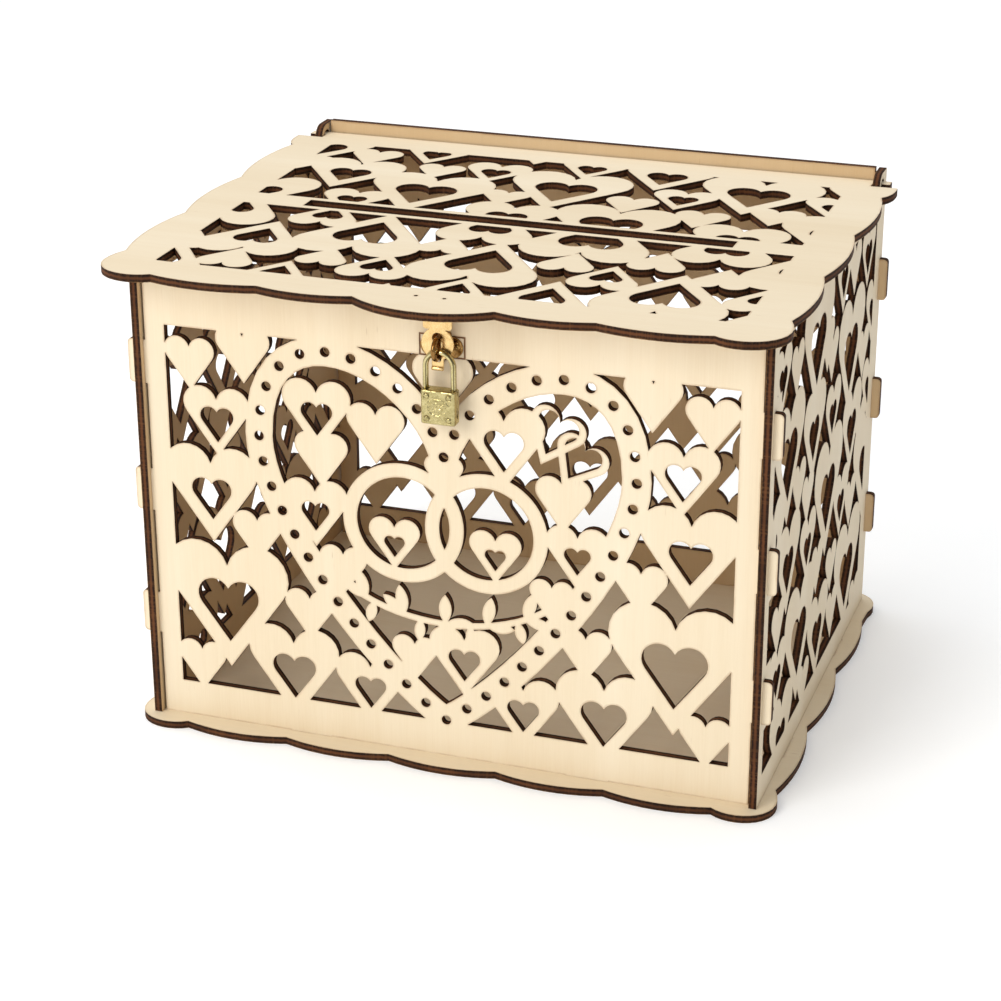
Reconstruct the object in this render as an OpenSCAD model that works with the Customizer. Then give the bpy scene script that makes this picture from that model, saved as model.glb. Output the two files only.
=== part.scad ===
// Wedding card box: laser-cut plywood panels joined by tabs, a scalloped lid that turns on
// two wooden pivot tabs, and a brass hasp, staple and small padlock at the front.
// Millimetres. +X to the right, +Y to the back, +Z up. The origin is the centre of the
// box's underside.

/* [Box] */
// Width over the two side panels
body_w = 240; // [238:1:244]
// Depth of the side panels, front edge to rear edge
body_d = 189; // [188:1:192]
// Height of the walls above the floor plate
wall_h = 182; // [181:1:186]
// Thickness of the plywood
ply = 3; // [2.8:0.1:3.2]
// How far the side panels stand in front of the front panel
front_inset = 2.5; // [2:0.1:3]
// How far the side panels stand behind the back panel
rear_inset = 2; // [1.8:0.1:2.2]
// How far the wall tabs come out through the side panels
tab_out = 3.4; // [2:0.1:5]

/* [Lid] */
// Length of the card slot
slot_len = 169.5; // [150:0.5:180]
// Width of the card slot
slot_w = 7.8; // [5:0.2:8.4]
// Distance of the slot's centre line behind the box's middle
slot_y = -11.2; // [-14:0.2:-8]
// How far the lid lies in front of the front panel at its cusps
lid_front = 19.2; // [16:0.2:21]
// Width of the lid across its side cusps
lid_w = 247.6; // [246:0.2:250]

/* [Lock] */
// Diameter of the hasp's disc
disc_d = 12; // [11.6:0.2:12.6]
// Width of the padlock's body
lock_w = 12.9; // [12.7:0.1:13.6]
// Height of the padlock's body
lock_h = 12.7; // [12.1:0.2:13.3]
// Thickness of the padlock's body
lock_t = 6.3; // [6.1:0.1:6.6]
// Diameter of the shackle's wire
shackle_d = 2.1; // [1.9:0.1:2.2]

/* [Hidden] */

wood = [0.93, 0.86, 0.72];
brass = [0.83, 0.68, 0.36];
old_brass = [0.66, 0.60, 0.38];

// Walls
half_w = body_w / 2;
front_y = -body_d / 2 + front_inset;       // outer face of the front panel
rear_y = body_d / 2 - rear_inset;          // outer face of the back panel
floor_z = ply;                             // top of the floor plate
rim_z = floor_z + wall_h;                  // top of the walls, underside of the lid
panel_gap = 0.8;                           // gap between a panel's shoulder and a side panel
panel_half = half_w - ply - panel_gap;
cut_gap = 0.1;                             // play of a tab in its slot
eps = 0.01;

// Wall tabs: their middles above the floor, and their height
tab_zs = [42, 93, 144];
tab_h = 17;
tab_r = 1.5;                               // rounding of a tab's outer corners
// Tabs that stand in the floor plate
foot_xs = [-55, 55];
foot_ys = [-45, 45];
foot_len = 16.5;

// Floor plate
base_half_x = 123.3;
base_half_y = 98.2;

// Lid pivot
pivot_y = rear_y - ply - 3;
pivot_z = rim_z + ply / 2;
pivot_half = 2.3;                          // half the depth of a pivot tab
ear_r = 5.5;
ear_hole_r = 3.1;
lid_notch = 6.2;                           // clear distance in front of the pivot
back_strip = 7.9;                          // how far the back panel rises above the walls

// Lock
hasp_y = front_y - 4.5;                    // middle of the flap's thickness
hasp_t = 0.8;
knuckle_r = 1.2;
pin_r = 0.6;
knuckle_z = rim_z - knuckle_r - 0.1;
knuckle_len = 4;                           // each of the three knuckles
knuckle_half = knuckle_len / 2;
eye_z = floor_z + 164;                     // middle of the staple's eye
eye_h = 9;
eye_wire = 1.8;
eye_y = front_y - 5.6;                     // middle of the eye's round end
disc_z = eye_z + 1.7;
slot_low = eye_z - 5.2;                    // the disc's slot, which lets the eye through
slot_high = eye_z + 5.7;
slot_r = 1.3;                              // half the slot's width
slot_top_r = 1.9;                          // the slot's wider round top
neck_half = 5.4;                           // half the width of the plate over the disc
neck_low = disc_z + 5.2;
neck_top = knuckle_z - 1.6;
neck_r = 1.2;
tongue_half = 2.2;                         // half the width of the finger tongue
tongue_low = disc_z - 9.1;                 // middle of its rolled lip
lip_r = 0.8;
lock_x = 1.2;                              // the padlock hangs a little to the right
bar_y = eye_y - 0.6;                       // the shackle's bar lies in the bottom of the eye
bar_z = eye_z - 0.85;
leg_x = 5.2;                               // half the distance between the shackle's legs
leg_top = bar_z - leg_x;                   // where the shackle's arch ends
lock_top = leg_top - 8.45;                 // top of the padlock's body
lock_z = lock_top - lock_h;                // underside of the padlock
lock_corner = 1.2;                         // rounding of the body's upright edges
lock_step = 0.5;                           // inset of the body's top and bottom rims
leg_foot = 0.3;                            // room under each leg in the body
long_leg = 8.5;                            // depth of each leg in the body
short_leg = 3.4;
plug_r = 2.4;
plug_len = 6;
key_w = 0.8;                               // the keyway
key_l = 3.2;
key_deep = 3.5;
fit = 0.05;                                // radial play of round parts that turn or slide
screw_head_r = 1.3;
screw_head_t = 0.6;
screw_dome_r = 1.7;                        // radius of a screw head's dome
screw_r = 0.6;
screw_len = 2.4;                           // length of a screw in the wood
leaf_half = 8;                             // half the width of the hasp's fixed leaf
leaf_near = hasp_y - 1.5;
leaf_far = hasp_y - 11.5;
leaf_r = 2;
leaf_screw_x = 5.2;
leaf_screw_y = hasp_y - 7;
plate_half = 8;                            // half the length of the staple's plate
plate_r = 3.9;                             // its round ends
plate_mid = 3.5;                           // half the width of the taller middle under the eye
plate_screw_x = 5.8;
plate_t = 0.8;
mark_w = 17.4;                             // rectangle engraved round the staple's plate
mark_h = 8.4;
mark_z = eye_z - 0.7;
mark_line = 0.6;
mark_deep = 0.3;

// ---------------------------------------------------------------- hearts

// Outline of a heart with its tip at the origin. Each lobe is an arc of the radius k * w.
function heart_pts(w, k = 0.255, n = 12) =
    let (
        r = k * w,
        cx = w / 2 - r,
        cy = 1.03 * w - r,
        d = norm([cx, cy]),
        a1 = atan2(cy, cx) - 180 + acos(r / d),
        a2 = 180 - acos(cx / r),
        lobe = [for (i = [0:n]) let (a = a1 + (a2 - a1) * i / n) [cx + r * cos(a), cy + r * sin(a)]]
    )
    concat([[0, 0]], lobe, [for (i = [n - 1:-1:0]) [-lobe[i][0], lobe[i][1]]]);

// One heart of a pattern list: [x of the middle, height of the tip, width, width of its hole]
module heart(h) {
    translate([h[0], h[1]]) polygon(heart_pts(h[2]));
}

module heart_hole(h) {
    lift = 0.42 * (h[2] - h[3]);
    translate([h[0], h[1] + lift]) polygon(heart_pts(h[3], 0.265));
}

// What the laser takes out of a window: all that no heart covers, and the holes of the hearts
module heart_cut(list) {
    difference() {
        children(0);
        for (h = list) heart(h);
    }
    intersection() {
        children(0);
        union() {
            for (h = list) if (h[3] > 0) heart_hole(h);
        }
    }
}

function both_sides(list) = concat(list, [for (h = list) [-h[0], h[1], h[2], h[3]]]);

// Hearts on each side of the front panel, above the floor
front_hearts = both_sides([
    [98.7, 135, 20, 0], [77.2, 140, 21.5, 0], [88.7, 110, 26.5, 13.3], [92.2, 75, 37.5, 16],
    [74.2, 69, 20, 0], [87.4, 23.5, 50, 24.8], [54, 40, 20, 0], [61.2, 6, 37, 17.5],
    [99.5, 12, 20, 0], [30.2, 8.5, 28, 12.4]
]);

// Hearts of the back panel, above the floor
back_hearts = concat(front_hearts, both_sides([
    [56, 105, 36, 16], [48, 80, 27, 12], [30, 120, 36, 16], [27, 84, 27, 12], [76, 94, 22, 0],
    [24, 55, 36, 16], [41, 60, 24, 0], [19, 33, 22, 0], [56, 60, 22, 0]
]), [
    [0, 96, 50, 25], [0, 68, 27, 12], [0, 24, 36, 16], [0, 139, 22, 0]
]);

// Hearts of a side panel: distance behind the front panel's face, height above the floor
side_hearts = [
    [11.8, 147, 25, 12], [34.5, 146, 20, 0], [69, 128, 50, 25], [27, 100, 47, 25],
    [68.5, 100, 37, 16.5], [96, 130, 20, 0], [111.5, 152, 27, 12], [132, 153, 21, 0],
    [157.5, 148, 26, 13], [131.5, 104, 49, 25], [102, 101, 27, 12.5], [157, 110, 21, 0],
    [172, 121, 27, 12], [46, 95.5, 21, 0], [62, 86, 20, 0], [33, 62, 37, 16.5],
    [66, 61, 27, 12], [99.5, 57, 50, 25], [141, 76, 36, 17], [172, 88, 27, 12],
    [20, 52, 20, 0], [126.5, 54, 28, 12.5], [146, 50, 21, 0], [174, 42, 50, 22],
    [57.5, 15, 50, 25], [22, 27, 27, 12], [85.5, 47, 21, 0], [92, 8, 37, 17],
    [113, 36, 20, 0], [118.7, 13, 21, 0], [146, 4, 50, 25], [33, -7, 37, 15],
    [69.5, 5, 20, 0], [166, -2, 21, 0], [6, 80, 36, 14], [9, 127, 20, 0], [159, 78, 22, 0],
    [87, 137, 20, 0]
];

// Hearts of the lid: distance to the right of its middle, distance behind the slot's middle
lid_hearts = [
    [-85, 22.6, 40, 17], [-47.3, 1.1, 50, 24.8], [-29.8, 48.1, 27, 12.2], [-52, 47.1, 19.5, 0],
    [-84.5, 57.6, 21.5, 0], [-108.5, 56.1, 38, 17], [4, 21.1, 49, 25], [37.2, 58.1, 36, 16.5],
    [77.5, 37.1, 49, 25], [51.5, 35.1, 26, 12], [33.7, 25, 21, 0], [34, -17.9, 49, 24.5],
    [64.4, 14.4, 21.5, 0], [84, -15.6, 37, 16.8], [90.8, 26, 21.5, 0], [110.5, 41.9, 27, 12],
    [-70.5, -4.9, 27, 12], [-109, -10.9, 41, 16.5], [-6.3, -13.9, 37, 16.5],
    [-15.3, 20.1, 19.5, 0], [-61.5, 66.1, 27, 12], [5.5, 65, 27, 12], [120, -7, 50, 25],
    [120, 57, 37, 0], [-19, 79, 16, 0], [-108, 43, 20, 0]
];

// ---------------------------------------------------------------- outlines

// Points of an arc from a to b, without b, that bulges to the right of that direction
function arc_pts(a, b, bulge, n = 10) =
    let (
        c = norm(b - a) / 2,
        r = (c * c + bulge * bulge) / (2 * bulge),
        half = asin(c / r),
        m = (a + b) / 2,
        u = (b - a) / (2 * c),
        out = [u[1], -u[0]],
        o = m - out * (r - bulge)
    )
    [for (i = [0:n - 1]) let (t = -half + 2 * half * i / n) o + r * (out * cos(t) + u * sin(t))];

function bezier(p, t) =
    p[0] * pow(1 - t, 3) + p[1] * 3 * t * pow(1 - t, 2) + p[2] * 3 * t * t * (1 - t) + p[3] * pow(t, 3);
function bezier_pts(p, n) = [for (i = [0:n - 1]) bezier(p, i / n)];
function bezier_dir(p, t) =
    (p[1] - p[0]) * pow(1 - t, 2) + (p[2] - p[1]) * 2 * t * (1 - t) + (p[3] - p[2]) * t * t;

function flip(pts) = [for (i = [len(pts) - 1:-1:0]) [-pts[i][0], pts[i][1]]];

// Right half of a scalloped front edge, from the middle of the plate to the first side cusp
function front_half(xs, y, bulges, mid_bulge, corner, side) =
    concat(
        [for (p = arc_pts([-xs[0], y], [xs[0], y], mid_bulge, 16)) if (p[0] > 0) p],
        [for (i = [0:len(xs) - 2]) each arc_pts([xs[i], y], [xs[i + 1], y], bulges)],
        bezier_pts([[xs[len(xs) - 1], y], corner[0], corner[1], side], 14)
    );

base_front = front_half([21.2, 63, 104], -base_half_y, 3.2, 3.2,
    [[114, -105.5], [133, -98]], [base_half_x, -78.2]);
base_side = concat(
    arc_pts([base_half_x, -78.2], [base_half_x, -26], 3.4),
    arc_pts([base_half_x, -26], [base_half_x, 26], 3.4),
    arc_pts([base_half_x, 26], [base_half_x, 78.2], 3.4)
);
base_right = concat(
    base_front, base_side,
    [for (i = [len(base_front) - 1:-1:0]) [base_front[i][0], -base_front[i][1]]]
);
base_outline = concat(base_right, flip(base_right));

// Lid: its side cusps, and the straight rear edge of its side lobes
lid_cusp_y = front_y - lid_front;
lid_x = lid_w / 2;
lid_side_ys = [-88.3, -38, 13.8, 65.6];
lid_rear_y = pivot_y - lid_notch;
lid_right = concat(
    front_half([26, 62, 103], lid_cusp_y, 3, 9, [[113, -118.5], [134, -110]], [lid_x, lid_side_ys[0]]),
    [for (i = [0:2]) each arc_pts([lid_x, lid_side_ys[i]], [lid_x, lid_side_ys[i + 1]], 3.3)],
    bezier_pts([[lid_x, lid_side_ys[3]], [127, 69], [127.6, 74], [127.2, lid_rear_y]], 6),
    [[127.2, lid_rear_y], [half_w - ply - 0.5, lid_rear_y], [half_w - ply - 0.5, pivot_y - pivot_half],
     [half_w + tab_out, pivot_y - pivot_half], [half_w + tab_out, pivot_y + pivot_half]]
);
lid_outline = concat(lid_right, flip(lid_right));

// ---------------------------------------------------------------- the big heart

// Middle line of the left half of the band: from its tip up to the side, and on to the notch
band_low = [[0, 15], [-28, 33], [-72.5, 90], [-72, 121]];
band_high = [[-72, 121], [-71, 176], [-12, 158], [0, 121]];
band_half = 5.4;
band_holes = 24;
band_hole_r = 1.9;
band_n = 18;

function side_of(d) = [-d[1], d[0]] / norm(d);
function beside(curve, t, s) = bezier(curve, t) + s * side_of(bezier_dir(curve, t));
function band_edge(s) = concat(
    [for (i = [-3:band_n - 1]) beside(band_low, i / band_n, s)],
    [for (i = [0:band_n + 3]) beside(band_high, i / band_n, s)]
);
function reversed(v) = [for (i = [len(v) - 1:-1:0]) v[i]];

module band_left() {
    intersection() {
        polygon(concat(band_edge(band_half), reversed(band_edge(-band_half))));
        translate([-100, -20]) square([100, 220]);
    }
}

// The band's middle line in short steps, and its points at equal distances
band_line = concat(bezier_pts(band_low, 80), bezier_pts(band_high, 80), [band_high[3]]);
band_run = [for (i = 0, s = 0; i < len(band_line);
    s = s + (i < len(band_line) - 1 ? norm(band_line[i + 1] - band_line[i]) : 0), i = i + 1) s];
function at_run(s) = let (i = max([for (k = [0:len(band_run) - 2]) band_run[k] <= s + eps ? k : 0]))
    band_line[i] + (band_line[i + 1] - band_line[i]) * (s - band_run[i]) / (band_run[i + 1] - band_run[i]);
band_spots = [for (i = [0:band_holes]) at_run(band_run[len(band_run) - 1] * i / band_holes)];

module small_hole(p) {
    translate(p) polygon([for (i = [0:19]) band_hole_r * [cos(18 * i), sin(18 * i)]]);
}

// ---------------------------------------------------------------- ornament in the big heart

// A pointed leaf that starts at the origin and lies along the direction a
module leaf(x, z, a, len, w) {
    side = arc_pts([0, 0], [len, 0], w / 2, 8);
    translate([x, z]) rotate(a)
        polygon(concat(side, [[len, 0]], [for (i = [7:-1:1]) [side[i][0], -side[i][1]]]));
}

module disc_2d(p, r, n = 60) {
    translate(p) polygon([for (i = [0:n - 1]) r * [cos(360 * i / n), sin(360 * i / n)]]);
}

module ring_2d(p, r, w) {
    difference() {
        disc_2d(p, r);
        disc_2d(p, r - w);
    }
}

module outline_heart(x, z, a, w, line) {
    translate([x, z]) rotate(a) difference() {
        polygon(heart_pts(w));
        translate([0, 1.7 * line]) polygon(heart_pts(w - 2.1 * line));
    }
}

// Two linked rings, their middles above the floor
rings = [[-16, 93], [16, 93]];
ring_r = 23.5;
ring_w = 5.5;
stem = [[-43, 69], [-22, 50], [22, 50], [43, 69]];
stem_half = 1.3;

module stem_2d() {
    up = [for (i = [0:20]) beside(stem, i / 20, stem_half)];
    low = [for (i = [20:-1:0]) beside(stem, i / 20, -stem_half)];
    polygon(concat(up, low));
}

// Hearts inside the band
inner_hearts = [
    [-48.9, 117, 27, 12.3], [-26, 115, 22.5, 0], [22.8, 111.5, 31, 15], [45, 97.5, 21, 0],
    [-50.5, 79, 26, 11], [50.5, 76, 24, 10], [0, 106, 15, 0], [0, 136.5, 23, 0],
    [-19.5, 74, 20, 8], [19.5, 74, 20, 8], [7.3, 26, 27.5, 12.3], [-12.2, 29.5, 18, 0],
    [-40, 61, 19, 0], [41, 61, 17, 0], [-47.5, 103, 21, 0]
];

module ornament() {
    for (p = rings) ring_2d(p, ring_r, ring_w);
    stem_2d();
    for (i = [1:5]) {
        t = i / 6;
        p = bezier(stem, t);
        leaf(p[0], p[1], 118 - 56 * t, 12, 5);
        leaf(p[0], p[1], 40 - 60 * t + (t < 0.5 ? 120 : 0), 11, 4.6);
    }
    for (i = [1:4]) {
        p = bezier(stem, i / 5);
        leaf(p[0], p[1], -90 - 50 * (0.5 - i / 5), 9, 4.4);
    }
    outline_heart(36.6, 123, -23, 21.5, 2.7);
    outline_heart(44.6, 115, -29, 20.5, 2.7);
}

// ---------------------------------------------------------------- panels

window_half = 108.3;                       // half the width of the front, back and lid windows
window_low = 14.3;                         // lower edge of the front window above the floor
window_h = 145;
lid_window_near = 6.9;                     // from the slot's middle to the lid's windows
lid_window_d = 77.6;
rear_shift = 0.4;                          // how far the lid's hearts lie off the list
front_shift = 3.4;
side_window_size = [168.5, 163];
side_window_low = 11;
side_window_front = 4;                     // from the front panel's face
tab_land = [11, 26];                       // wood kept round each tab's slot

module front_window() {
    translate([-window_half, window_low]) square([2 * window_half, window_h]);
}

// What the laser takes out of the front panel, heights from the floor
module front_cut() {
    difference() {
        front_window();
        for (h = front_hearts) heart(h);
        for (h = inner_hearts) heart(h);
        band_left();
        mirror([1, 0]) band_left();
        ornament();
    }
    intersection() {
        front_window();
        union() {
            for (h = front_hearts) if (h[3] > 0) heart_hole(h);
            for (h = inner_hearts) if (h[3] > 0) heart_hole(h);
        }
    }
    for (i = [0:band_holes]) small_hole(band_spots[i]);
    for (i = [1:band_holes - 1]) small_hole([-band_spots[i][0], band_spots[i][1]]);
}

// A wall panel with three round-cornered tabs at each side and two feet
function tab_pts(z) =
    let (x = half_w + tab_out - tab_r, dz = tab_h / 2 - tab_r, turn = [0:22.5:90])
    concat(
        [[panel_half, z - tab_h / 2]],
        [for (a = turn) [x + tab_r * sin(a), z - dz - tab_r * cos(a)]],
        [for (a = turn) [x + tab_r * cos(a), z + dz + tab_r * sin(a)]],
        [[panel_half, z + tab_h / 2]]
    );
function foot_pts(x) =
    let (a = x - foot_len / 2, b = x + foot_len / 2) [[a, 0], [a, -ply], [b, -ply], [b, 0]];

module tabbed_panel(height) {
    right = concat([[panel_half, 0]], [for (z = tab_zs) each tab_pts(z)], [[panel_half, height]]);
    polygon(concat([for (x = foot_xs) each foot_pts(x)], right, flip(right)));
}

module upright(y) {
    translate([0, y, floor_z]) rotate([90, 0, 0]) linear_extrude(ply) children();
}

module base_plate() {
    color(wood) linear_extrude(ply) difference() {
        polygon(base_outline);
        for (x = foot_xs, y = [front_y + ply / 2, rear_y - ply / 2])
            translate([x, y]) square([foot_len + cut_gap, ply + cut_gap], center = true);
        for (y = foot_ys, x = [-half_w + ply / 2, half_w - ply / 2])
            translate([x, y]) square([ply + cut_gap, foot_len + cut_gap], center = true);
    }
}

// The outline of a side panel, seen from the right: +X is to the back
module side_outline() {
    top = pivot_z + ear_r;
    ear = [for (i = [0:8]) [pivot_y, pivot_z] + ear_r * [cos(90 + 11.25 * i), sin(90 + 11.25 * i)]];
    feet = [for (y = foot_ys, p = foot_pts(y)) p + [0, floor_z]];
    polygon(concat(
        [[-body_d / 2, floor_z]], feet, [[body_d / 2, floor_z], [body_d / 2, top]], ear,
        [[pivot_y - ear_r, rim_z], [-body_d / 2, rim_z]]
    ));
}

module side_window() {
    difference() {
        translate([side_window_front, side_window_low]) square(side_window_size);
        for (z = tab_zs) translate([0, z - tab_land[1] / 2]) square(tab_land);
    }
}

module side_panel() {
    difference() {
        linear_extrude(ply) difference() {
            side_outline();
            for (y = [front_y + ply / 2, rear_y - ply / 2], z = tab_zs)
                translate([y, floor_z + z]) square([ply + cut_gap, tab_h + cut_gap], center = true);
            translate([front_y, floor_z]) heart_cut(side_hearts) side_window();
        }
        translate([pivot_y, pivot_z, -1]) cylinder(h = ply + 2, r = ear_hole_r, $fn = 48);
    }
}

module left_panel() {
    color(wood) translate([-half_w, 0, 0]) rotate([90, 0, 90]) side_panel();
}

module right_panel() {
    color(wood) translate([half_w - ply, 0, 0]) rotate([90, 0, 90]) side_panel();
}

module front_panel() {
    color(wood) difference() {
        upright(front_y + ply) difference() {
            tabbed_panel(wall_h);
            front_cut();
            for (x = [-plate_screw_x, plate_screw_x]) screw_hole([x, eye_z - floor_z]);
        }
        translate([0, front_y + mark_deep, mark_z]) rotate([90, 0, 0]) linear_extrude(1)
            difference() {
                square([mark_w, mark_h], center = true);
                square([mark_w - 2 * mark_line, mark_h - 2 * mark_line], center = true);
            }
    }
}

module back_panel() {
    color(wood) upright(rear_y) difference() {
        tabbed_panel(wall_h + back_strip);
        heart_cut(back_hearts) front_window();
    }
}

// A twelve-sided pilot hole, a little wider than a screw
module screw_hole(p) {
    translate(p) circle(r = screw_r + 0.1, $fn = 12);
}

// One of the lid's two windows, with its hearts moved away from the slot by a distance
module lid_cut_half(shift) {
    translate([0, shift]) heart_cut(lid_hearts)
        translate([-window_half, lid_window_near - shift]) square([2 * window_half, lid_window_d]);
}

module lid_panel() {
    color(wood) translate([0, 0, rim_z]) linear_extrude(ply) difference() {
        polygon(lid_outline);
        translate([0, slot_y]) {
            square([slot_len, slot_w], center = true);
            lid_cut_half(rear_shift);
            mirror([0, 1]) lid_cut_half(front_shift);
        }
        for (x = [-leaf_screw_x, leaf_screw_x]) screw_hole([x, leaf_screw_y]);
    }
}

// ---------------------------------------------------------------- hasp

module rounded_rect(w, d, r) {
    square([w - 2 * r, d], center = true);
    square([w, d - 2 * r], center = true);
    for (x = [-1, 1], y = [-1, 1]) translate([x * (w / 2 - r), y * (d / 2 - r)]) circle(r = r, $fn = 32);
}

// A round bar along X between two places, at the hinge's axis
module bar_x(x1, x2, r, y, z) {
    translate([x1, y, z]) rotate([0, 90, 0]) cylinder(h = x2 - x1, r = r, $fn = 32);
}

module hasp_leaf() {
    web = leaf_near - hasp_y;
    color(brass) difference() {
        union() {
            translate([0, 0, rim_z - hasp_t]) linear_extrude(hasp_t) difference() {
                union() {
                    translate([-leaf_half, leaf_far + leaf_r])
                        square([2 * leaf_half, leaf_near - leaf_far - leaf_r]);
                    translate([leaf_r - leaf_half, leaf_far])
                        square([2 * (leaf_half - leaf_r), leaf_r + 0.1]);
                    for (s = [-1, 1])
                        translate([s * (leaf_half - leaf_r), leaf_far + leaf_r])
                            circle(r = leaf_r, $fn = 32);
                    for (s = [-1, 1])
                        translate([s * knuckle_len - knuckle_half, leaf_near - 0.1])
                            square([knuckle_len, 0.1 - web]);
                }
                for (x = [-leaf_screw_x, leaf_screw_x]) screw_hole([x, leaf_screw_y]);
            }
            bar_x(-knuckle_half - knuckle_len, -knuckle_half, knuckle_r, hasp_y, knuckle_z);
            bar_x(knuckle_half, knuckle_half + knuckle_len, knuckle_r, hasp_y, knuckle_z);
        }
        bar_x(-2 * knuckle_len, 2 * knuckle_len, pin_r, hasp_y, knuckle_z);
    }
}

module hasp_pin() {
    half = 1.5 * knuckle_len + 0.2;
    color(brass) bar_x(-half, half, pin_r, hasp_y, knuckle_z);
}

// The flap's outline, seen from the front, with the slot that the eye passes through
module flap_outline() {
    difference() {
        union() {
            translate([0, (neck_low + neck_top) / 2])
                rounded_rect(2 * neck_half, neck_top - neck_low, neck_r);
            translate([0, disc_z]) circle(d = disc_d, $fn = 64);
            translate([-tongue_half, tongue_low])
                square([2 * tongue_half, disc_z - disc_d / 2 + 1 - tongue_low]);
        }
        translate([-slot_r, slot_low + slot_r])
            square([2 * slot_r, slot_high - slot_top_r - slot_low - slot_r]);
        translate([0, slot_low + slot_r]) circle(r = slot_r, $fn = 32);
        translate([0, slot_high - slot_top_r]) circle(r = slot_top_r, $fn = 32);
    }
}

module hasp_flap() {
    half = knuckle_half - 0.1;
    color(brass) difference() {
        union() {
            translate([0, hasp_y + hasp_t / 2, 0]) rotate([90, 0, 0]) linear_extrude(hasp_t) flap_outline();
            translate([-half, hasp_y - hasp_t / 2, neck_top - neck_r])
                cube([2 * half, hasp_t, knuckle_z - neck_top + neck_r]);
            bar_x(-half, half, knuckle_r, hasp_y, knuckle_z);
            bar_x(-tongue_half, tongue_half, lip_r, hasp_y - lip_r / 2, tongue_low);
        }
        bar_x(-half - 1, half + 1, pin_r + fit, hasp_y, knuckle_z);
    }
}

// A screw with a domed head whose flat side is at z = 0 and whose shank goes up
module screw(through) {
    cylinder(h = screw_len + through, r = screw_r, $fn = 32);
    intersection() {
        translate([0, 0, -screw_head_t]) cylinder(h = screw_head_t, r = screw_head_r, $fn = 32);
        translate([0, 0, screw_dome_r - screw_head_t]) sphere(r = screw_dome_r, $fn = 48);
    }
}

module hasp_leaf_screws() {
    color(brass) for (x = [-leaf_screw_x, leaf_screw_x])
        translate([x, leaf_screw_y, rim_z - hasp_t]) screw(hasp_t);
}

// ---------------------------------------------------------------- staple

module staple_plate() {
    color(old_brass) translate([0, front_y, eye_z]) rotate([90, 0, 0]) linear_extrude(plate_t)
        difference() {
            union() {
                translate([0, mark_z - eye_z]) {
                    square([2 * (plate_half - plate_r), 2 * plate_r], center = true);
                    for (s = [-1, 1])
                        translate([s * (plate_half - plate_r), 0]) circle(r = plate_r, $fn = 48);
                }
                square([2 * plate_mid, eye_h + 0.6], center = true);
            }
            for (x = [-plate_screw_x, plate_screw_x]) screw_hole([x, 0]);
        }
}

// A flat loop whose open end is brazed to the plate
module staple_eye() {
    root = front_y - plate_t;
    inner = eye_h / 2 - eye_wire;
    color(old_brass) translate([-eye_wire / 2, 0, eye_z]) rotate([90, 0, 90]) linear_extrude(eye_wire)
        difference() {
            union() {
                translate([eye_y, -eye_h / 2]) square([root - eye_y, eye_h]);
                translate([eye_y, 0]) circle(r = eye_h / 2, $fn = 64);
            }
            translate([eye_y, -inner]) square([root - eye_y + 1, 2 * inner]);
            translate([eye_y, 0]) circle(r = inner, $fn = 64);
        }
}

module staple_screws() {
    color(old_brass) for (x = [-plate_screw_x, plate_screw_x])
        translate([x, front_y - plate_t, eye_z]) rotate([-90, 0, 0]) screw(plate_t);
}

// ---------------------------------------------------------------- padlock

module padlock_body() {
    inner_w = lock_w - 2 * lock_step;
    inner_t = lock_t - 2 * lock_step;
    color(old_brass) difference() {
        translate([lock_x, bar_y, lock_z]) union() {
            translate([0, 0, lock_step])
                linear_extrude(lock_h - 2 * lock_step) rounded_rect(lock_w, lock_t, lock_corner);
            linear_extrude(lock_h) rounded_rect(inner_w, inner_t, lock_corner - lock_step / 2);
        }
        translate([lock_x - leg_x, bar_y, lock_top - long_leg - leg_foot])
            cylinder(h = long_leg + 1, r = shackle_d / 2 + fit, $fn = 32);
        translate([lock_x + leg_x, bar_y, lock_top - short_leg - leg_foot])
            cylinder(h = short_leg + 1, r = shackle_d / 2 + fit, $fn = 32);
        translate([lock_x, bar_y, lock_z - 1]) cylinder(h = plug_len + 1, r = plug_r + fit, $fn = 48);
    }
}

module padlock_shackle() {
    r = shackle_d / 2;
    color(old_brass) {
        translate([lock_x, bar_y, leg_top]) rotate([90, 0, 0])
            rotate_extrude(angle = 180, $fn = 64) translate([leg_x, 0]) circle(r = r, $fn = 32);
        translate([lock_x - leg_x, bar_y, lock_top - long_leg])
            cylinder(h = leg_top - lock_top + long_leg, r = r, $fn = 32);
        translate([lock_x + leg_x, bar_y, lock_top - short_leg])
            cylinder(h = leg_top - lock_top + short_leg, r = r, $fn = 32);
    }
}

// The keyed plug in the padlock's underside
module padlock_plug() {
    color(brass) translate([lock_x, bar_y, lock_z]) difference() {
        cylinder(h = plug_len - 0.1, r = plug_r, $fn = 48);
        translate([-key_w / 2, -key_l / 2, -1]) cube([key_w, key_l, key_deep + 1]);
    }
}

base_plate();
left_panel();
right_panel();
front_panel();
back_panel();
lid_panel();
hasp_leaf();
hasp_leaf_screws();
hasp_pin();
hasp_flap();
staple_plate();
staple_eye();
staple_screws();
padlock_body();
padlock_shackle();
padlock_plug();
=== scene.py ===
import math

import bmesh
import bpy
from mathutils import Matrix, Vector, noise


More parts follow.
